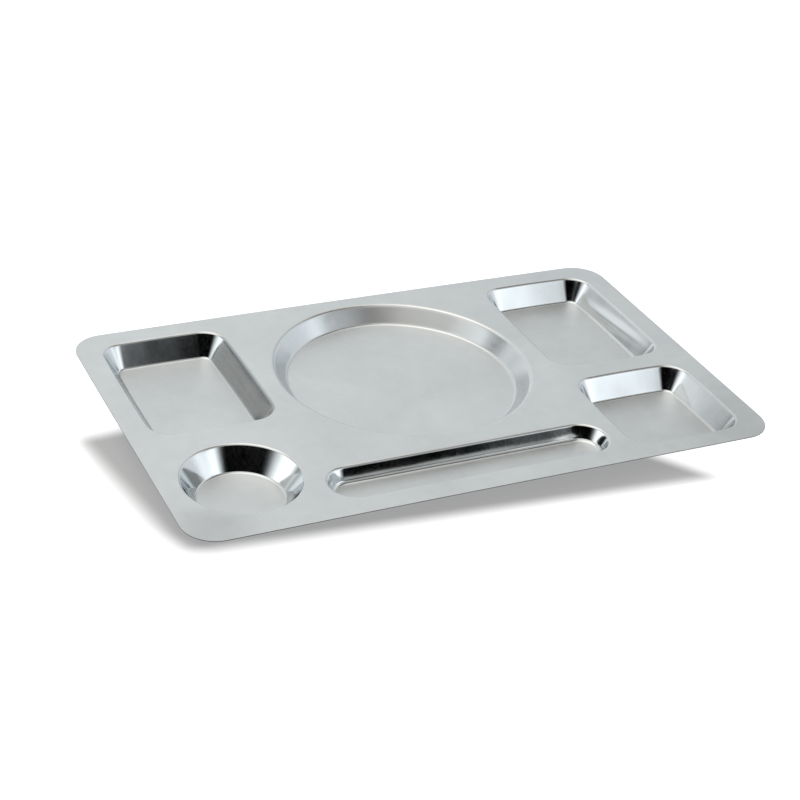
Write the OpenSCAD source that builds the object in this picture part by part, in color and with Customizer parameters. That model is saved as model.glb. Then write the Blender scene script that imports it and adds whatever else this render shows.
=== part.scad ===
// One-piece pressed steel tray with six wells, in millimetres
// X runs along the tray, Y runs to its back edge and Z rises from the surface it stands on
// The origin is on that surface, under the middle of the tray

/* [Sheet] */
// Length of the tray, left to right
tray_length = 530; // [520:1:600]
// Width of the tray, front to back
tray_width = 325; // [315:1:400]
// Radius of the outer corners, seen from above
tray_corner_radius = 28; // [10:1:45]
// Thickness of the sheet
sheet_thickness = 0.8; // [0.5:0.1:1.2]

/* [Lands] */
// Flat land from the left and right edges to the rectangular wells
side_land = 19.5; // [12:0.5:30]
// Flat land from the back edge to the two back wells
back_land = 18.5; // [12:0.5:28]
// Flat land from the front edge to the right front well
front_land = 17; // [12:0.5:28]

/* [Rectangular wells] */
// Size of the three rectangular wells along X, at the rim
side_well_width = 114; // [90:1:124]
// Size of the two back wells along Y, at the rim
back_well_length = 156.5; // [120:0.5:168]
// Size of the right front well along Y, at the rim
front_well_length = 114; // [90:1:125]
// Radius of the upright corners at the rim, seen from above
side_well_corner = 22; // [21:1:30]
// Depth below the deck, which the cup well shares because all four stand on the table
side_well_depth = 20; // [16:0.5:26]
// Angle of the walls from the floor, in degrees
side_well_angle = 59; // [56:1:75]

/* [Main round well] */
// Radius at the rim
main_well_radius = 116; // [90:1:119]
// Flat land from the back edge to the rim
main_well_land = 12.5; // [8:0.5:20]
// Depth below the deck
main_well_depth = 15.5; // [8:0.5:16]
// Angle of the wall from the floor, in degrees
main_well_angle = 53; // [45:1:70]

/* [Round cup well] */
// Radius at the rim
cup_well_radius = 51; // [44:1:58]
// Flat land from the left edge to the rim
cup_well_side_land = 17; // [10:0.5:22]
// Flat land from the front edge to the rim
cup_well_front_land = 24; // [14:0.5:36]
// Angle of the wall from the floor, in degrees
cup_well_angle = 57; // [50:1:75]

/* [Cutlery slot] */
// Width of the round-ended slot at the rim
slot_width = 47; // [36:1:52]
// Flat land from the front edge to the slot
slot_land = 19; // [14:0.5:22]
// Gap between the rim of the cup well and the slot
slot_cup_gap = 8; // [6:0.5:20]
// Gap between the slot and the rim of the right front well
slot_well_gap = 12; // [6:0.5:30]
// Depth below the deck
slot_depth = 12.5; // [8:0.5:15]
// Angle of the walls from the floor, in degrees
slot_angle = 66; // [58:1:78]

/* [Bend radii] */
// Radius over the rim of every well but the main one, on the face that shows
rim_bend = 3; // [2:0.25:3.5]
// Radius into the floor of every well but the main one and the slot, on the face that shows
floor_bend = 2.5; // [1:0.25:3]
// Radius over the rim of the main well
main_rim_bend = 5; // [2:0.25:7]
// Radius into the floor of the main well
main_floor_bend = 4; // [1:0.25:7]
// Radius into the floor of the slot
slot_floor_bend = 4; // [1:0.25:5]

/* [Hidden] */
$fn = 96;

steel = [0.78, 0.79, 0.80];

// Flats that each round bend is folded in
bend_steps = 4;
// Step to which a wall's reach is rounded up, so that it meets its floor squarely
reach_step = 0.05;

// Height of the deck's upper face, with the deepest wells standing on the table
deck_top = side_well_depth + sheet_thickness;

// Distance from a rim's outer tangent to the tangent on the floor, seen from above
function wall_reach(depth, angle, top_bend, low_bend) =
    (top_bend + low_bend) * tan(angle / 2) + depth / tan(angle);

// The same distance, rounded up past a short flat, to where the floor plate starts
function inset(depth, angle, top_bend, low_bend) =
    (floor(wall_reach(depth, angle, top_bend, low_bend) / reach_step) + 2) * reach_step;

// Middle of each well, seen from above
side_well_x = tray_length / 2 - side_land - side_well_width / 2;
back_well_y = tray_width / 2 - back_land - back_well_length / 2;
front_well_y = front_land + front_well_length / 2 - tray_width / 2;
main_well_y = tray_width / 2 - main_well_land - main_well_radius;
cup_well_x = cup_well_side_land + cup_well_radius - tray_length / 2;
cup_well_y = cup_well_front_land + cup_well_radius - tray_width / 2;
slot_y = slot_land + slot_width / 2 - tray_width / 2;
slot_left = cup_well_x + cup_well_radius + slot_cup_gap;
slot_right = side_well_x - side_well_width / 2 - slot_well_gap;
slot_x = (slot_left + slot_right) / 2;
slot_length = slot_right - slot_left;

// Outline with round corners, centred
module rounded_outline(length, width, corner) {
    run_x = length - 2 * corner;
    run_y = width - 2 * corner;
    square([length, run_y], center = true);
    square([run_x, width], center = true);
    for (sx = [-1, 1], sy = [-1, 1])
        translate([sx * run_x / 2, sy * run_y / 2]) circle(corner);
}

// Points along a round bend about a centre, from one direction to another
function bend(centre, radius, from_angle, to_angle) = [
    for (step = [0 : bend_steps])
        let (heading = from_angle + (to_angle - from_angle) * step / bend_steps)
            centre + radius * [cos(heading), sin(heading)]
];

// Section through a wall: over the rim, down the slope and into the floor
// The rim's tangent is at X = 0, the deck's upper face is at Y = 0 and the floor lies towards +X
module wall_section(depth, angle, top_bend, low_bend) {
    over = [0, -top_bend];
    under = [wall_reach(depth, angle, top_bend, low_bend), low_bend - depth];
    floor_edge = [inset(depth, angle, top_bend, low_bend), -depth];
    polygon(concat(
        bend(over, top_bend, 90, 90 - angle),
        bend(under, low_bend, 270 - angle, 270),
        [floor_edge, floor_edge - [0, sheet_thickness]],
        bend(under, low_bend + sheet_thickness, 270, 270 - angle),
        bend(over, top_bend - sheet_thickness, 90 - angle, 90)
    ));
}

// Quarter or longer turn of a wall about a corner's centre, from a start angle
module wall_turn(radius, start, sweep, depth, angle, top_bend, low_bend) {
    rotate([0, 0, start])
        rotate_extrude(angle = sweep)
            translate([radius, 0])
                mirror([1, 0])
                    wall_section(depth, angle, top_bend, low_bend);
}

// Straight run of a wall, centred, with the rim at distance reach along the heading
module wall_run(run, reach, heading, depth, angle, top_bend, low_bend) {
    rotate([0, 0, heading])
        translate([reach, run / 2, 0])
            rotate([90, 0, 0])
                linear_extrude(run)
                    mirror([1, 0])
                        wall_section(depth, angle, top_bend, low_bend);
}

// Flat floor of a well, as thick as the sheet, from its outline
module floor_plate(depth) {
    translate([0, 0, -depth - sheet_thickness])
        linear_extrude(sheet_thickness) children();
}

// Well with straight sides and round corners, centred below the deck
module straight_sided_well(length, width, corner, depth, angle, top_bend, low_bend) {
    in = inset(depth, angle, top_bend, low_bend);
    run_x = length - 2 * corner;
    run_y = width - 2 * corner;
    for (side = [0, 180]) {
        wall_run(run_y, length / 2, side, depth, angle, top_bend, low_bend);
        wall_run(run_x, width / 2, side + 90, depth, angle, top_bend, low_bend);
    }
    for (turn = [0 : 3])
        translate([
            (turn == 0 || turn == 3 ? 1 : -1) * run_x / 2,
            (turn < 2 ? 1 : -1) * run_y / 2,
            0
        ])
            wall_turn(corner, turn * 90, 90, depth, angle, top_bend, low_bend);
    floor_plate(depth) rounded_outline(length - 2 * in, width - 2 * in, corner - in);
}

// Round well, centred below the deck
module round_well(radius, depth, angle, top_bend, low_bend) {
    wall_turn(radius, 0, 360, depth, angle, top_bend, low_bend);
    floor_plate(depth) circle(radius - inset(depth, angle, top_bend, low_bend));
}

// Slot with two half-round ends, centred below the deck
module round_ended_well(length, width, depth, angle, top_bend, low_bend) {
    in = inset(depth, angle, top_bend, low_bend);
    run = length - width;
    for (side = [-1, 1]) {
        wall_run(run, width / 2, side * 90, depth, angle, top_bend, low_bend);
        translate([side * run / 2, 0, 0])
            wall_turn(width / 2, -side * 90, 180, depth, angle, top_bend, low_bend);
    }
    floor_plate(depth) round_ended_outline(length - 2 * in, width - 2 * in);
}

// Outline of a slot with half-round ends, centred
module round_ended_outline(length, width) {
    run = length - width;
    square([run, width], center = true);
    for (side = [-1, 1])
        translate([side * run / 2, 0]) circle(width / 2);
}

// Flat deck between the wells, with an opening at each rim's tangent
module deck() {
    translate([0, 0, -sheet_thickness])
        linear_extrude(sheet_thickness)
            difference() {
                rounded_outline(tray_length, tray_width, tray_corner_radius);
                for (side = [-1, 1])
                    translate([side * side_well_x, back_well_y])
                        rounded_outline(side_well_width, back_well_length, side_well_corner);
                translate([side_well_x, front_well_y])
                    rounded_outline(side_well_width, front_well_length, side_well_corner);
                translate([0, main_well_y]) circle(main_well_radius);
                translate([cup_well_x, cup_well_y]) circle(cup_well_radius);
                translate([slot_x, slot_y]) round_ended_outline(slot_length, slot_width);
            }
}

// Rectangular well of the given length along Y
module side_well(length) {
    straight_sided_well(side_well_width, length, side_well_corner,
        side_well_depth, side_well_angle, rim_bend, floor_bend);
}

// The whole tray is one pressing: the deck and six wells of the same sheet
module tray() {
    color(steel)
        translate([0, 0, deck_top]) {
            deck();
            for (side = [-1, 1])
                translate([side * side_well_x, back_well_y, 0]) side_well(back_well_length);
            translate([side_well_x, front_well_y, 0]) side_well(front_well_length);
            translate([0, main_well_y, 0])
                round_well(main_well_radius, main_well_depth, main_well_angle,
                    main_rim_bend, main_floor_bend);
            translate([cup_well_x, cup_well_y, 0])
                round_well(cup_well_radius, side_well_depth, cup_well_angle,
                    rim_bend, floor_bend);
            translate([slot_x, slot_y, 0])
                round_ended_well(slot_length, slot_width, slot_depth, slot_angle,
                    rim_bend, slot_floor_bend);
        }
}

tray();
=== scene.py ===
import math
from typing import NamedTuple

import bmesh
import bpy
from bpy.props import FloatProperty, FloatVectorProperty, IntProperty, PointerProperty
from mathutils import Matrix, Vector


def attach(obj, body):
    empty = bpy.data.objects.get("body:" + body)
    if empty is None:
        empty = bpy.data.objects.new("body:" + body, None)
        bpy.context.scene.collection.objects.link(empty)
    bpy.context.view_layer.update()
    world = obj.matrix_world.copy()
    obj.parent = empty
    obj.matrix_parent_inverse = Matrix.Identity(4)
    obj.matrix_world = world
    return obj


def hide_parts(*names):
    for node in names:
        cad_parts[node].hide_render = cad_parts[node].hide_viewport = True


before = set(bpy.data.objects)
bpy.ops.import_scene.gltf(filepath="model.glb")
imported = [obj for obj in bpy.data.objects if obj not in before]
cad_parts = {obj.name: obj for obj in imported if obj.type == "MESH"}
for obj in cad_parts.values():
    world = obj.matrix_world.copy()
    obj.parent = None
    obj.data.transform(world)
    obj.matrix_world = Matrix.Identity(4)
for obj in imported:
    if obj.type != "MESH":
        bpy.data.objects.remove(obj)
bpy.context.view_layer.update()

bl_info = {
    "name": "Divided Steel Tray",
    "version": (1, 0, 0),
    "blender": (4, 5, 0),
    "location": "3D View > Sidebar > Tray",
    "description": "Builds a pressed steel tray with six wells, its finish and its studio stage",
    "category": "Object",
}

# Flat margin round each well's rim and floor and inside the tray's outline, in metres
MARGIN = 0.0012

# Noise scales of the rolling grain, which runs along X, and of the draw marks, which run down
# and along the walls. Lines run along the axis with the smallest scale
GRAIN_SCALES = (60.0, 1400.0, 1400.0)
DRAW_MARK_SCALES = ((500.0, 500.0, 18.0), (420.0, 11.0, 420.0))

# Wall of the left back well towards the main well, with painted shade that darkens its tone, and
# rougher, streakier steel: its ends along X and along Y, and how softly each of them sets in, in
# metres
PAINTED_SHADE_X = (-0.146, -0.129, 0.001, 0.001)
PAINTED_SHADE_Y = (-0.004, 0.128, 0.01, 0.012)

# Darker patches on the two front corners of the deck: centre and radius in metres
FRONT_CORNER_PATCHES = (((-0.243, -0.150, 0.021), 0.028), ((0.235, -0.145, 0.021), 0.060))

# Sides of the tray's painted shadow on the floor. Each is a slanting line: a share of X, a share
# of Y, and the two values of their sum, in metres, between which the painted shadow sets in
PAINTED_SHADOW_SIDES = (
    # Left
    (1.0, 0.154, -0.301, -0.275),
    # Left front corner
    (0.8, 0.6, -0.306, -0.276),
    # Front
    (0.085, 1.0, -0.175, -0.154),
    # Right
    (-1.0, -0.77, -0.067, -0.042),
    # Back
    (0.06, -1.0, -0.063, -0.042),
)


# Sizes and colours that a user may change

def size_setting(name, description, default):
    """A length in metres, shown in the scene's unit."""
    return FloatProperty(name=name, description=description, default=default, min=0.0,
                         precision=5, unit="LENGTH", subtype="DISTANCE")


def angle_setting(name, description, degrees):
    """An angle, given in degrees and kept in radians."""
    return FloatProperty(name=name, description=description, default=math.radians(degrees),
                         unit="ROTATION", subtype="ANGLE")


def share_setting(name, description, default, top=1.0):
    """A plain factor."""
    return FloatProperty(name=name, description=description, default=default, min=0.0, max=top)


def colour_setting(name, description, default):
    """A scene-linear colour."""
    return FloatVectorProperty(name=name, description=description, default=default, size=3,
                               min=0.0, max=1.0, subtype="COLOR")


def count_setting(name, description, default, least):
    """A whole number."""
    return IntProperty(name=name, description=description, default=default, min=least)


class TraySheetSettings(bpy.types.PropertyGroup):
    """Sizes of the pressed sheet."""

    length: size_setting("Length", "Length of the tray, left to right", 0.530)
    width: size_setting("Width", "Width of the tray, front to back", 0.325)
    corner: size_setting("Corner radius", "Radius of the outer corners", 0.028)
    thickness: size_setting("Thickness", "Thickness of the sheet", 0.0008)
    edge: size_setting("Edge round", "Rounding of the deburred outer edge", 0.00015)
    crown: size_setting("Crown", "Rise of the deck's middle over its two ends", 0.0007)
    side_land: size_setting(
        "Side land", "Land from the left and right edges to the rectangular wells", 0.0195)
    back_land: size_setting("Back land", "Land from the back edge to the two back wells", 0.0185)
    front_land: size_setting(
        "Front land", "Land from the front edge to the right front well", 0.017)
    side_width: size_setting("Side well width", "Size of the rectangular wells along X", 0.114)
    back_length: size_setting("Back well length", "Size of the two back wells along Y", 0.1565)
    front_length: size_setting(
        "Front well length", "Size of the right front well along Y", 0.114)
    side_corner: size_setting(
        "Side well corner", "Radius of the upright corners at the rim", 0.022)
    side_depth: size_setting(
        "Side well depth", "Depth of the rectangular wells and the cup well", 0.020)
    side_angle: angle_setting("Side well angle", "Angle of the rectangular wells' walls", 59)
    main_radius: size_setting("Main well radius", "Radius of the main well at the rim", 0.116)
    main_land: size_setting("Main well land", "Land from the back edge to the main well", 0.0125)
    main_depth: size_setting("Main well depth", "Depth of the main well", 0.0155)
    main_angle: angle_setting("Main well angle", "Angle of the main well's wall", 53)
    cup_radius: size_setting("Cup well radius", "Radius of the cup well at the rim", 0.051)
    cup_side_land: size_setting("Cup side land", "Land from the left edge to the cup well", 0.017)
    cup_front_land: size_setting(
        "Cup front land", "Land from the front edge to the cup well", 0.024)
    cup_angle: angle_setting("Cup well angle", "Angle of the cup well's wall", 57)
    slot_width: size_setting("Slot width", "Width of the cutlery slot", 0.047)
    slot_land: size_setting("Slot land", "Land from the front edge to the slot", 0.019)
    slot_cup_gap: size_setting("Slot to cup", "Gap between the cup well and the slot", 0.008)
    slot_well_gap: size_setting(
        "Slot to well", "Gap between the slot and the right front well", 0.012)
    slot_depth: size_setting("Slot depth", "Depth of the cutlery slot", 0.0125)
    slot_angle: angle_setting("Slot angle", "Angle of the slot's walls", 66)
    rim_bend: size_setting("Rim bend", "Bend radius over the rims", 0.003)
    floor_bend: size_setting("Floor bend", "Bend radius into the floors", 0.0025)
    main_rim_bend: size_setting("Main rim bend", "Bend radius over the main well's rim", 0.005)
    main_floor_bend: size_setting(
        "Main floor bend", "Bend radius into the main well's floor", 0.004)
    slot_floor_bend: size_setting("Slot floor bend", "Bend radius into the slot's floor", 0.004)
    main_burnish: share_setting(
        "Main burnish", "Gloss of the main well's wall, as a share of the other walls'", 0.6)
    side_bow: size_setting(
        "Side bow", "Outward bow of the rectangular wells' straight sides", 0.0006)
    dent: size_setting(
        "Dent", "Height of the soft slanting dent in the right back well's right wall", 0.0007)
    bend_steps: count_setting("Bend steps", "Faces across each bend", 8, 3)
    wall_steps: count_setting("Wall steps", "Faces down each wall's slope", 8, 2)
    cell: size_setting("Deck cell", "Largest size of the deck's faces", 0.012)
    wall_cell: size_setting("Wall cell", "Largest size along the wells' walls", 0.006)


class TrayFinishSettings(bpy.types.PropertyGroup):
    """Colour and gloss of the steel."""

    steel: colour_setting("Steel", "Reflected colour of the steel", (0.635, 0.66, 0.672))
    flat_roughness: share_setting(
        "Flat roughness", "Roughness of the deck and the floors", 0.42)
    wall_roughness: share_setting(
        "Wall roughness", "Roughness of the drawn walls, burnished by the die", 0.10)
    # The edge's dark colour is partly its own and partly painted shade for the shadowed floor it
    # reflects
    edge: colour_setting("Edge", "Reflected colour of the sheet's cut edge", (0.22, 0.23, 0.24))
    edge_roughness: share_setting(
        "Edge roughness", "Roughness of the sheet's cut edge", 0.5)
    mottle: share_setting(
        "Mottle", "Strength of the cloudy variation in the satin finish", 0.28)
    streaks: share_setting("Streaks", "Strength of the draw marks on the walls", 0.14)
    waviness: size_setting("Waviness", "Height of the slow waves in the drawn walls", 0.0003)
    # Painted shade: darkening of one wall of the left back well
    wall_shade: share_setting("Rub", "Darkening of the rubbed wall of the left back well", 0.4)
    # Darker patches on the deck's front corners
    marks: share_setting("Marks", "Strength of the handling marks on the deck", 0.15)
    grain: share_setting("Grain", "Strength of the fine rolling grain", 0.06)


class TrayStageSettings(bpy.types.PropertyGroup):
    """Floor, light and camera."""

    azimuth: angle_setting(
        "Azimuth", "Camera's turn from straight ahead of the front edge", -27.880)
    elevation: angle_setting("Elevation", "Camera's height as an angle over the deck", 30.982)
    roll: angle_setting("Roll", "Camera's turn about its line of sight", 5.554)
    distance: size_setting("Distance", "Camera's distance from its target", 1.549682)
    target: FloatVectorProperty(
        name="Target", description="Point that the camera looks at", size=3,
        default=(-0.027136, -0.018456, 0.02115), subtype="XYZ", unit="LENGTH")
    lens: FloatProperty(
        name="Lens", description="Focal length for a 36 mm wide sensor, in millimetres",
        default=81.745, min=1.0)
    floor: colour_setting("Floor", "Colour of the floor", (0.20, 0.20, 0.205))
    floor_reach: size_setting("Floor reach", "Reach of the floor to each side", 6.0)
    floor_gap: size_setting(
        "Floor gap", "Gap between the floor and the wells that stand on it", 0.0001)
    floor_white: share_setting(
        "Floor white", "Share of the floor's white that is left in the shadow", 0.32)
    floor_gloss: share_setting(
        "Floor gloss", "White of the floor as the steel reflects it", 0.3)
    shade_reach: FloatVectorProperty(
        name="Shade reach", description="Shift of a shadow on the floor per metre of height",
        size=2, default=(-1.7, -1.3), subtype="XYZ")
    shade_light: share_setting(
        "Shade light", "Strength of the lamp that casts the floor's shadow", 9.0, top=20.0)
    shade_soft: angle_setting("Shade softness", "Angle across that lamp", 20)
    left_side: colour_setting(
        "Left side", "Colour of the room's left side", (0.92, 0.945, 0.945))
    right_side: colour_setting(
        "Right side", "Colour of the room's right side", (0.895, 0.94, 0.97))
    ceiling: colour_setting("Ceiling", "Colour of the room's ceiling", (0.985, 0.955, 0.90))
    room_light: share_setting("Room light", "Brightness of the room", 0.98, top=4.0)
    overhead: share_setting("Overhead", "Brightness of the light over the tray", 1.72, top=4.0)
    left_panel: share_setting(
        "Left panel", "Brightness of the left light panel", 2.0, top=4.0)
    right_panel: share_setting(
        "Right panel", "Brightness of the right light panel", 2.0, top=4.0)


def settings():
    """The three groups of settings of this scene."""
    scene = bpy.context.scene
    return scene.tray_sheet, scene.tray_finish, scene.tray_stage


# Shader maths on sockets

class Wire:
    """A shader socket with arithmetic, and a method that adds any other node."""

    def __init__(self, tree, socket=None):
        self.tree = tree
        self.socket = socket

    def node(self, kind, settings=None, out=0, **inputs):
        """Adds a node of a kind, sets its settings and feeds its sockets. A socket goes by its
        name or, where several share one, by its number after a low line."""
        made = self.tree.nodes.new(kind)
        for name, value in (settings or {}).items():
            setattr(made, name, value)
        for name, value in inputs.items():
            key = int(name[1:]) if name[0] == "_" else name.replace("_", " ")
            if isinstance(value, Wire):
                self.tree.links.new(value.socket, made.inputs[key])
            else:
                made.inputs[key].default_value = value
        return Wire(self.tree, made.outputs[out])

    def math(self, operation, *values):
        """A Math node on this wire and other wires or numbers."""
        fed = {f"_{place}": value for place, value in enumerate((self, *values))}
        return self.node("ShaderNodeMath", {"operation": operation}, **fed)

    def __add__(self, other):
        return self.math("ADD", other)

    def __sub__(self, other):
        return self.math("SUBTRACT", other)

    def __rsub__(self, other):
        return self.node("ShaderNodeMath", {"operation": "SUBTRACT"}, _0=other, _1=self)

    def __mul__(self, other):
        return self.math("MULTIPLY", other)

    __radd__ = __add__
    __rmul__ = __mul__

    def step(self, low, high):
        """0 below low and 1 above high, with a smooth rise between them."""
        return self.node("ShaderNodeMapRange", {"interpolation_type": "SMOOTHSTEP"},
                         Value=self, From_Min=low, From_Max=high, To_Min=0.0, To_Max=1.0)

    def band(self, low, high, soft_low, soft_high):
        """1 between low and high, with soft ends."""
        return (self.step(low - soft_low, low + soft_low)
                * (1.0 - self.step(high - soft_high, high + soft_high)))

    def blend(self, first, second):
        """A mix of two colours, with this wire as the second one's share."""
        return self.node("ShaderNodeMix", {"data_type": "RGBA"}, out=2,
                         _0=self, _6=first, _7=second)

    def axis(self, number):
        """One axis of this wire's place or direction."""
        return self.node("ShaderNodeSeparateXYZ", out=number, Vector=self)

    def scaled(self, scales):
        """This wire's place with each axis scaled."""
        return self.node("ShaderNodeMapping", Vector=self, Scale=scales)

    def noise(self, scale, detail, roughness):
        """Noise between 0 and 1 by this wire's place."""
        return self.node("ShaderNodeTexNoise", Vector=self, Scale=scale, Detail=detail,
                         Roughness=roughness)


# Pressed sheet

class Well(NamedTuple):
    """A well's outline at its rim, and the wall from there to its floor."""

    size_x: float
    size_y: float
    corner: float
    centre: tuple
    depth: float
    angle: float
    rim_bend: float
    floor_bend: float
    burnish: float = 1.0
    bow: float = 0.0


def sheet_wells(sheet):
    """The three rectangular wells, the main well, the cup well and the slot."""
    side_x = sheet.length / 2 - sheet.side_land - sheet.side_width / 2
    back_y = sheet.width / 2 - sheet.back_land - sheet.back_length / 2
    front_y = sheet.front_land + sheet.front_length / 2 - sheet.width / 2
    main_y = sheet.width / 2 - sheet.main_land - sheet.main_radius
    cup_x = sheet.cup_side_land + sheet.cup_radius - sheet.length / 2
    cup_y = sheet.cup_front_land + sheet.cup_radius - sheet.width / 2
    slot_left = cup_x + sheet.cup_radius + sheet.slot_cup_gap
    slot_right = side_x - sheet.side_width / 2 - sheet.slot_well_gap
    slot_y = sheet.slot_land + sheet.slot_width / 2 - sheet.width / 2
    side_places = (
        (-side_x, back_y, sheet.back_length),
        (side_x, back_y, sheet.back_length),
        (side_x, front_y, sheet.front_length),
    )
    wells = [
        Well(sheet.side_width, length, sheet.side_corner, (x, y), sheet.side_depth,
             sheet.side_angle, sheet.rim_bend, sheet.floor_bend, bow=sheet.side_bow)
        for x, y, length in side_places
    ]
    wells += [
        Well(2 * sheet.main_radius, 2 * sheet.main_radius, sheet.main_radius, (0, main_y),
             sheet.main_depth, sheet.main_angle, sheet.main_rim_bend, sheet.main_floor_bend,
             burnish=sheet.main_burnish),
        Well(2 * sheet.cup_radius, 2 * sheet.cup_radius, sheet.cup_radius, (cup_x, cup_y),
             sheet.side_depth, sheet.cup_angle, sheet.rim_bend, sheet.floor_bend),
        Well(slot_right - slot_left, sheet.slot_width, sheet.slot_width / 2,
             ((slot_left + slot_right) / 2, slot_y),
             sheet.slot_depth, sheet.slot_angle, sheet.rim_bend, sheet.slot_floor_bend),
    ]
    return wells


def bend_moves(radius, start, end, steps):
    """Moves in and down along a bend between two slopes, each with the slope that it ends at."""
    slopes = [start + (end - start) * step / steps for step in range(steps + 1)]
    sign = 1 if end > start else -1
    return [
        (sign * radius * (math.sin(after) - math.sin(before)),
         sign * radius * (math.cos(before) - math.cos(after)), after)
        for before, after in zip(slopes, slopes[1:])
    ]


def wall_moves(sheet, well):
    """Moves in and down over a well's rim, down its wall's slope and into its floor."""
    fall = well.depth - (well.rim_bend + well.floor_bend) * (1 - math.cos(well.angle))
    run = fall / math.tan(well.angle)
    slope = [(run / sheet.wall_steps, fall / sheet.wall_steps, well.angle)] * sheet.wall_steps
    return (bend_moves(well.rim_bend, 0, well.angle, sheet.bend_steps) + slope
            + bend_moves(well.floor_bend, well.angle, 0, sheet.bend_steps))


def flat_face(bm, size_x, size_y, corner, centre, corner_steps):
    """A level face with round corners, made from a square whose corners are bevelled."""
    before = set(bm.faces)
    verts = bmesh.ops.create_grid(bm, x_segments=1, y_segments=1, size=0.5)["verts"]
    bmesh.ops.scale(bm, vec=(size_x, size_y, 1), verts=verts)
    bmesh.ops.translate(bm, vec=(*centre, 0), verts=verts)
    bmesh.ops.bevel(bm, geom=verts, offset=corner, offset_type="OFFSET",
                    segments=corner_steps, profile=0.5, affect="VERTICES", material=-1)
    made = next(face for face in bm.faces if face not in before)
    bmesh.ops.remove_doubles(bm, verts=list(made.verts), dist=1e-6)
    return next(face for face in bm.faces if face not in before)


def split_edges(bm, face, longest):
    """Cuts the long edges of a face into even lengths."""
    for edge in list(face.edges):
        cuts = math.ceil(edge.calc_length() / longest) - 1
        if cuts > 0:
            bmesh.ops.subdivide_edges(bm, edges=[edge], cuts=cuts)


def bow_sides(face, well):
    """Bows the straight sides of a well's face outwards, most in their middles."""
    size = (well.size_x, well.size_y)
    for vert in face.verts:
        for axis in range(2):
            straight = size[1 - axis] / 2 - well.corner
            across = vert.co[axis] - well.centre[axis]
            along = (vert.co[1 - axis] - well.centre[1 - axis]) / straight
            if abs(along) < 1 and abs(across) > size[axis] / 2:
                vert.co[axis] += math.copysign(well.bow * (1 - along * along), across)


def press(bm, sheet, face, well, drawn):
    """Presses a well into a face ring by ring. The face ends as the well's floor. How drawn the
    steel is grows over the first half of a bend and is kept with each corner of the mesh."""
    margin = [(MARGIN, 0, 0)]
    for inward, down, slope in margin + wall_moves(sheet, well) + margin:
        bmesh.ops.inset_individual(bm, faces=[face], thickness=inward, depth=-down,
                                   use_even_offset=True)
        for vert in face.verts:
            vert[drawn] = well.burnish * min(1.0, 2 * slope / well.angle)


def add_wells(bm, sheet, drawn):
    """The six wells, each with a narrow flat margin round its rim."""
    least_steps, radius_per_step = 12, 0.003
    for well in sheet_wells(sheet):
        corner_steps = max(least_steps, math.ceil(well.corner / radius_per_step))
        face = flat_face(bm, well.size_x + 2 * MARGIN, well.size_y + 2 * MARGIN,
                         well.corner + MARGIN, well.centre, corner_steps)
        split_edges(bm, face, sheet.wall_cell)
        if well.bow:
            bow_sides(face, well)
        press(bm, sheet, face, well, drawn)


def add_deck(bm, sheet):
    """The deck, from the wells' margins to the tray's outline. Its faces are returned."""
    loops = [edge for edge in bm.edges if edge.is_boundary]
    outline = flat_face(bm, sheet.length, sheet.width, sheet.corner, (0, 0), corner_steps=16)
    split_edges(bm, outline, sheet.cell)
    bmesh.ops.inset_individual(bm, faces=[outline], thickness=MARGIN, depth=0,
                               use_even_offset=True)
    loops += list(outline.edges)
    bmesh.ops.delete(bm, geom=[outline], context="FACES_ONLY")
    made = bmesh.ops.triangle_fill(bm, use_beauty=True, use_dissolve=False, edges=loops,
                                   normal=(0, 0, 1))
    return {item for item in made["geom"] if isinstance(item, bmesh.types.BMFace)}


def cut_grid(bm, sheet, deck):
    """Cuts the deck's faces along a square grid, so that they can follow the crown."""
    for axis, reach in ((0, sheet.length / 2), (1, sheet.width / 2)):
        normal = Vector((0, 0, 0))
        normal[axis] = 1
        count = math.floor(reach / sheet.cell)
        for place in range(-count, count + 1):
            faces = [face for face in deck if face.is_valid]
            edges = {edge for face in faces for edge in face.edges}
            verts = {vert for face in faces for vert in face.verts}
            cut = bmesh.ops.bisect_plane(bm, geom=faces + list(edges) + list(verts), dist=1e-6,
                                         plane_co=normal * (place + 0.5) * sheet.cell,
                                         plane_no=normal)
            deck.update(item for item in cut["geom"] if isinstance(item, bmesh.types.BMFace))


def dent_wall(bm, sheet):
    """Raises a soft slanting ridge in the right wall of the right back well."""
    rim = sheet.length / 2 - sheet.side_land
    back = sheet.width / 2 - sheet.back_land
    # Inwards from the rim to the middle of the wall, and from there to each side
    wall_middle, wall_reach = 0.006, 0.009
    # Ends of the ridge, as shares of the well's length from its back
    first, last = 0.1, 0.9
    # Height of the ridge at its low end, its climb and its breadth, as shares of the depth
    low_end, climb, breadth = 0.1, 0.6, 0.2
    for vert in bm.verts:
        along = (back - vert.co.y) / sheet.back_length
        height = 1 + vert.co.z / sheet.side_depth
        if abs(vert.co.x - rim + wall_middle) > wall_reach or not first < along < last:
            continue
        ends = math.sin(math.pi * (along - first) / (last - first))
        ridge = math.exp(-((height - low_end - climb * along) / breadth) ** 2)
        push = sheet.dent * ends * ridge * 4 * height * (1 - height)
        vert.co.x -= push * math.sin(sheet.side_angle)
        vert.co.z += push * math.cos(sheet.side_angle)


def raise_sheet(bm, sheet):
    """Lifts the sheet until its deepest floors stand on the table, and crowns its deck."""
    level = sheet.side_depth + sheet.thickness
    lowest = min(vert.co.z for vert in bm.verts)
    for vert in bm.verts:
        along = vert.co.x / (sheet.length / 2)
        camber = sheet.crown * (0.5 - along * along)
        vert.co.z += level + camber * (1 - vert.co.z / lowest)


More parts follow.
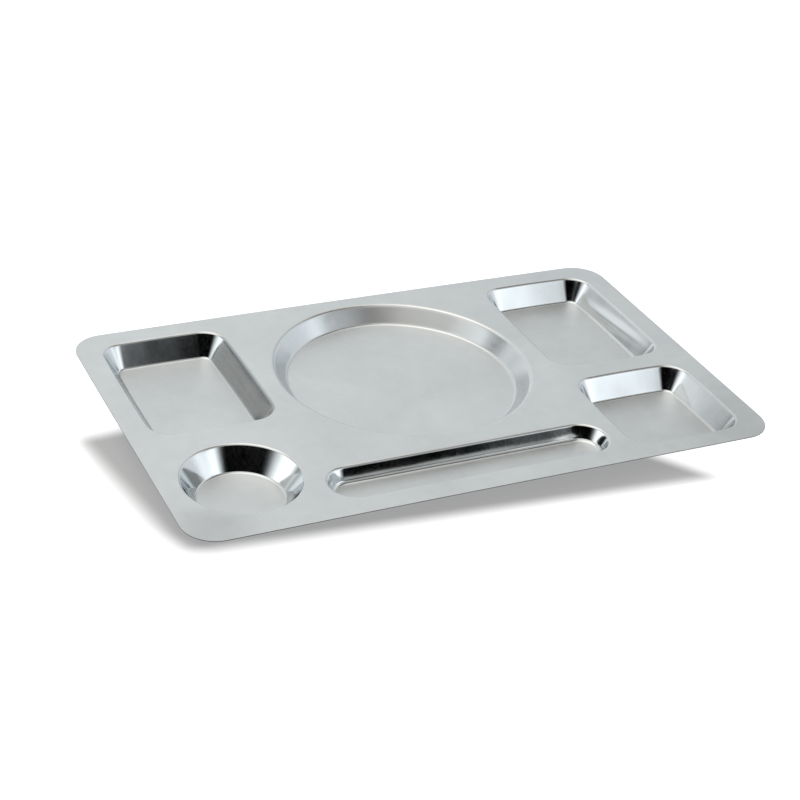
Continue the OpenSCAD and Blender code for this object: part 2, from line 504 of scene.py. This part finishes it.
def sheet_mesh(sheet, name):
    """The upper face of the pressed sheet as a mesh, facing up."""
    bm = bmesh.new()
    drawn = bm.verts.layers.float.new("drawn")
    add_wells(bm, sheet, drawn)
    cut_grid(bm, sheet, add_deck(bm, sheet))
    dent_wall(bm, sheet)
    raise_sheet(bm, sheet)
    bmesh.ops.remove_doubles(bm, verts=bm.verts, dist=2e-5)
    bmesh.ops.recalc_face_normals(bm, faces=bm.faces)
    if max(bm.faces, key=lambda face: face.calc_area()).normal.z < 0:
        bmesh.ops.reverse_faces(bm, faces=bm.faces)
    for face in bm.faces:
        face.smooth = True
    mesh = bpy.data.meshes.new(name)
    bm.to_mesh(mesh)
    bm.free()
    return mesh


def build_sheet(sheet, name):
    """The pressed sheet as an object with its thickness, its deburred edge and smooth bends."""
    piece = bpy.data.objects.new(name, sheet_mesh(sheet, name))
    bpy.context.scene.collection.objects.link(piece)
    gauge = piece.modifiers.new("Sheet gauge", "SOLIDIFY")
    gauge.thickness = sheet.thickness
    gauge.offset = -1
    gauge.use_even_offset = True
    gauge.use_quality_normals = True
    gauge.material_offset_rim = 1
    edge = piece.modifiers.new("Deburred edge", "BEVEL")
    edge.width = sheet.edge
    edge.segments = 2
    edge.limit_method = "ANGLE"
    edge.angle_limit = math.radians(60)
    piece.modifiers.new("Flat faces", "WEIGHTED_NORMAL")
    return piece


# Steel

def new_material(name):
    """A new material, with its node tree, its shader and the object's own coordinates."""
    material = bpy.data.materials.new(name)
    material.use_nodes = True
    tree = material.node_tree
    place = Wire(tree).node("ShaderNodeTexCoord", out=3)
    return material, tree, tree.nodes["Principled BSDF"], place


def front_corner_patches(place, cloud):
    """1 in the middle of each darker patch and 0 beyond it, with a ragged edge."""
    ragged = (cloud - 0.5) * 0.04
    marks = 0.0
    for centre, radius in FRONT_CORNER_PATCHES:
        apart = place.node("ShaderNodeVectorMath", {"operation": "DISTANCE"}, out=1,
                           _0=place, _1=centre) + ragged
        marks = (1.0 - apart.step(radius * 0.2, radius * 1.5)) + marks
    return marks


def draw_marks(place):
    """Fine lines down and along the drawn walls, about 0."""
    lines = 0.0
    for scales in DRAW_MARK_SCALES:
        lines = (place.scaled(scales).noise(1.0, detail=3.0, roughness=0.6) - 0.5) * 0.5 + lines
    return lines


def steel_material(finish):
    """Stainless steel, satin on the rolled flats and brighter on the drawn walls."""
    material, tree, shader, place = new_material("stainless_steel")
    drawn = place.node("ShaderNodeAttribute", {"attribute_name": "drawn"}, out=2)
    cloud = place.noise(13.0, detail=5.0, roughness=0.62)
    flecks = place.noise(85.0, detail=3.0, roughness=0.6)
    grain = place.scaled(GRAIN_SCALES).noise(1.0, detail=2.0, roughness=0.5)
    waves = place.noise(28.0, detail=1.0, roughness=0.3)
    streak = draw_marks(place)
    marks = front_corner_patches(place, cloud)
    # Painted shade darkens this wall's tone below, and the wall is also rougher and streakier
    painted_shade = place.axis(0).band(*PAINTED_SHADE_X) * place.axis(1).band(*PAINTED_SHADE_Y) * drawn
    fleck_share = 0.35
    mottle = (cloud + flecks * fleck_share - 0.5 * (1.0 + fleck_share)) * finish.mottle
    rough = (finish.flat_roughness + (finish.wall_roughness - finish.flat_roughness) * drawn
             + mottle * 0.5 + (grain - 0.5) * finish.grain * (1.0 - drawn)
             + streak * finish.streaks * (drawn + painted_shade * 2.0))
    tone = ((1.0 + mottle + streak * finish.streaks * (drawn + painted_shade * 3.0))
            * (1.0 - marks * finish.marks) * (1.0 - painted_shade * finish.wall_shade))
    base = place.node("ShaderNodeMix", {"data_type": "RGBA", "blend_type": "MULTIPLY"}, out=2,
                      _0=1.0, _6=(*finish.steel, 1.0), _7=tone)
    relief = place.node("ShaderNodeBump", Height=waves * drawn, Strength=1.0,
                        Distance=finish.waviness)
    tree.links.new(base.socket, shader.inputs["Base Color"])
    tree.links.new(rough.socket, shader.inputs["Roughness"])
    tree.links.new(relief.socket, shader.inputs["Normal"])
    shader.inputs["Metallic"].default_value = 1.0
    return material


def edge_material(finish):
    """The sheet's blanked edge, duller and darker than its faces. Its dark colour is partly the
    cut edge's own and partly painted shade, for the shadowed floor that the edge reflects.
    """
    material, tree, shader, place = new_material("cut_edge")
    torn = place.noise(900.0, detail=2.0, roughness=0.6)
    rough = finish.edge_roughness + (torn - 0.5) * finish.grain
    tree.links.new(rough.socket, shader.inputs["Roughness"])
    shader.inputs["Base Color"].default_value = (*finish.edge, 1.0)
    shader.inputs["Metallic"].default_value = 1.0
    return material


# Stage

class Room:
    """Directions round the tray, and the soft-edged parts of the room that they meet."""

    def __init__(self, tree):
        direction = Wire(tree).node("ShaderNodeTexCoord")
        self.x, self.y, self.z = (direction.axis(number) for number in range(3))
        self.rise = self.z.math("ARCSINE") * (180 / math.pi)

    def part(self, left, right, low, high, slant=0.0, tilt=0.0):
        """1 inside a part of the room and 0 outside. Each side is an angle and its softness, in
        degrees. Left and right are turns from straight ahead of the front edge, and low and high
        are rises. Slant leans the left and right sides, and tilt the low and high ones."""
        centre = math.radians(left[0] + right[0]) / 2
        half = (right[0] - left[0]) / 2
        ahead = self.x * math.sin(centre) - self.y * math.cos(centre)
        aside = self.x * math.cos(centre) + self.y * math.sin(centre)
        turned = aside.math("ARCTAN2", ahead) * (180 / math.pi)
        across = turned + (self.rise - (low[0] + high[0]) / 2) * slant
        up = self.rise + turned * tilt
        return (across.band(-half, half, left[1], right[1])
                * up.band(low[0], high[0], low[1], high[1]))


def studio_light(stage, room):
    """Brightness of the room by direction, with a light panel on each side of its dark side."""
    # Direction of the light over the tray, a little towards its back edge
    east, north, up = -0.11, 0.25, 0.96
    over_tray = (room.x * east + room.y * north + room.z * up).step(0.88, 0.97)
    # Parts of the room with their brightness. A later part covers an earlier one
    parts = [
        (over_tray, stage.overhead),
        # Gap between the ceiling and the right wall
        (room.part((31, 9), (126, 25), (50, 7), (66, 6), 0.0, 0.18), 0.1),
        # Light panels
        (room.part((-155, 20), (-79, 9), (-46, 5), (30, 6), 0.0, -0.43), stage.left_panel),
        (room.part((25, 9), (68, 20), (-56, 13), (35, 6), 0.0, -0.13), stage.right_panel),
        # Dim ceiling over the dark side
        (room.part((-14, 20), (50, 14), (38, 4), (50, 6)), 0.6),
        # Dark side of the room, behind the camera
        (room.part((-76, 28), (-2, 12), (-49, 5), (38, 4), 0.49), 0.0),
        (room.part((-25, 14), (44, 12), (-49, 5), (41, 4), 0.49), 0.0),
        # Gaps over the two panels
        (room.part((-135, 9), (-112, 10), (21, 6), (31, 6), 0.0, -0.44), 0.0),
        (room.part((12, 10), (64, 12), (30, 6), (53, 10), -0.16, 0.46), 0.46),
        # Dim corners of the room behind the tray
        (room.part((-154, 17), (-135, 9), (-27, 7), (17, 6), -0.14, 0.0), 0.28),
        (room.part((132, 23), (144, 9), (-11, 13), (45, 10), 0.12, -0.1), 0.5),
    ]
    light = stage.room_light
    for mask, level in parts:
        light = light + (level - light) * mask
    return light


def studio_world(stage):
    """The room that lights the tray, which the camera sees as plain white."""
    world = bpy.data.worlds.new("studio")
    world.use_nodes = True
    bpy.context.scene.world = world
    tree = world.node_tree
    room = Room(tree)
    camera = room.x.node("ShaderNodeLightPath")
    left, right = (*stage.left_side, 1.0), (*stage.right_side, 1.0)
    ceiling, white = (*stage.ceiling, 1.0), (1.0, 1.0, 1.0, 1.0)
    walls = room.rise.step(32, 48).blend(room.x.step(-0.5, 0.9).blend(left, right), ceiling)
    level = studio_light(stage, room) * (1.0 - camera) + camera
    background = tree.nodes["Background"]
    tree.links.new(camera.blend(walls, white).socket, background.inputs["Color"])
    tree.links.new(level.socket, background.inputs["Strength"])


def shade_lamp(stage):
    """A soft lamp that casts the tray's shadow on the floor. The steel doesn't reflect it."""
    data = bpy.data.lights.new("shade_lamp", "SUN")
    data.energy = stage.shade_light
    data.angle = stage.shade_soft
    lamp = bpy.data.objects.new("shade_lamp", data)
    bpy.context.scene.collection.objects.link(lamp)
    lamp.rotation_euler = Vector((*stage.shade_reach, -1)).to_track_quat("-Z", "Y").to_euler()
    lamp.visible_glossy = False


def view_camera(stage):
    """The camera at the photograph's viewing angle."""
    back = Vector((
        math.sin(stage.azimuth) * math.cos(stage.elevation),
        -math.cos(stage.azimuth) * math.cos(stage.elevation),
        math.sin(stage.elevation),
    ))
    level = (-back).cross(Vector((0, 0, 1))).normalized()
    upright = level.cross(-back)
    right = math.cos(stage.roll) * level + math.sin(stage.roll) * upright
    up = math.cos(stage.roll) * upright - math.sin(stage.roll) * level
    data = bpy.data.cameras.new("camera")
    data.lens = stage.lens
    data.sensor_width = 36
    camera = bpy.data.objects.new("camera", data)
    bpy.context.scene.collection.objects.link(camera)
    turned = Matrix((right, up, back)).transposed().to_4x4()
    place = Vector(stage.target) + back * stage.distance
    camera.matrix_world = Matrix.Translation(place) @ turned
    bpy.context.scene.camera = camera


def floor_material(stage):
    """White beyond the tray's painted shadow, plain grey in it, and clear to a camera below.
    Inside the shadow's sides the floor's white is lowered, so there the lamp's shadow of the tray
    shows.
    """
    material, tree, shader, place = new_material("floor")
    camera, glossy = (place.node("ShaderNodeLightPath", out=ray) for ray in (0, 3))
    x, y = place.axis(0), place.axis(1)
    # Painted shadow: inside these sides the floor's white is lowered
    painted_shadow = 1.0
    for share_x, share_y, clear, full in PAINTED_SHADOW_SIDES:
        painted_shadow = (x * share_x + y * share_y).step(clear, full) * painted_shadow
    white = (1.0 - painted_shadow * (1.0 - stage.floor_white)) * camera + glossy * stage.floor_gloss
    below = place.node("ShaderNodeNewGeometry", out=6)
    tree.links.new(white.socket, shader.inputs["Emission Color"])
    tree.links.new((1.0 - below).socket, shader.inputs["Alpha"])
    shader.inputs["Emission Strength"].default_value = 1.0
    shader.inputs["Base Color"].default_value = (*stage.floor, 1.0)
    shader.inputs["Roughness"].default_value = 1.0
    shader.inputs["Specular IOR Level"].default_value = 0.0
    # The floor's white is for the eye and doesn't light the tray as a lamp would
    material.cycles.emission_sampling = "NONE"
    return material


def floor_sheet(stage):
    """A wide level floor just under the tray."""
    bm = bmesh.new()
    made = bmesh.ops.create_grid(bm, x_segments=1, y_segments=1, size=stage.floor_reach)
    bmesh.ops.translate(bm, vec=(0, 0, -stage.floor_gap), verts=made["verts"])
    mesh = bpy.data.meshes.new("floor")
    bm.to_mesh(mesh)
    bm.free()
    mesh.materials.append(floor_material(stage))
    floor = bpy.data.objects.new("floor", mesh)
    bpy.context.scene.collection.objects.link(floor)


# Operators

class TRAY_OT_sheet(bpy.types.Operator):
    """Build the pressed sheet with its six wells and give it its steel"""

    bl_idname = "tray.sheet"
    bl_label = "Pressed sheet"

    def execute(self, context):
        sheet, finish, _ = settings()
        piece = build_sheet(sheet, "tray_sheet")
        for material in (steel_material(finish), edge_material(finish)):
            piece.data.materials.append(material)
        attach(piece, "root")
        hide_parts("tray")
        return {"FINISHED"}


class TRAY_OT_stage(bpy.types.Operator):
    """Add the floor, the studio light and the camera"""

    bl_idname = "tray.stage"
    bl_label = "Stage"

    def execute(self, context):
        _, _, stage = settings()
        floor_sheet(stage)
        studio_world(stage)
        shade_lamp(stage)
        view_camera(stage)
        context.scene.view_settings.view_transform = "Standard"
        return {"FINISHED"}


class TRAY_PT_panel(bpy.types.Panel):
    """Sizes, finish and stage of the tray"""

    bl_idname = "TRAY_PT_panel"
    bl_label = "Divided Steel Tray"
    bl_space_type = "VIEW_3D"
    bl_region_type = "UI"
    bl_category = "Tray"

    def draw(self, context):
        for groups, operator in ((("tray_sheet", "tray_finish"), "tray.sheet"),
                                 (("tray_stage",), "tray.stage")):
            box = self.layout.box()
            for group in groups:
                held = getattr(context.scene, group)
                for name in held.__annotations__:
                    box.prop(held, name)
            box.operator(operator)


CLASSES = (TraySheetSettings, TrayFinishSettings, TrayStageSettings,
           TRAY_OT_sheet, TRAY_OT_stage, TRAY_PT_panel)


def register():
    for item in CLASSES:
        bpy.utils.register_class(item)
    bpy.types.Scene.tray_sheet = PointerProperty(type=TraySheetSettings)
    bpy.types.Scene.tray_finish = PointerProperty(type=TrayFinishSettings)
    bpy.types.Scene.tray_stage = PointerProperty(type=TrayStageSettings)


def unregister():
    del bpy.types.Scene.tray_stage
    del bpy.types.Scene.tray_finish
    del bpy.types.Scene.tray_sheet
    for item in reversed(CLASSES):
        bpy.utils.unregister_class(item)


def main():
    register()
    bpy.ops.tray.sheet()
    bpy.ops.tray.stage()


if __name__ == "__main__":
    main()
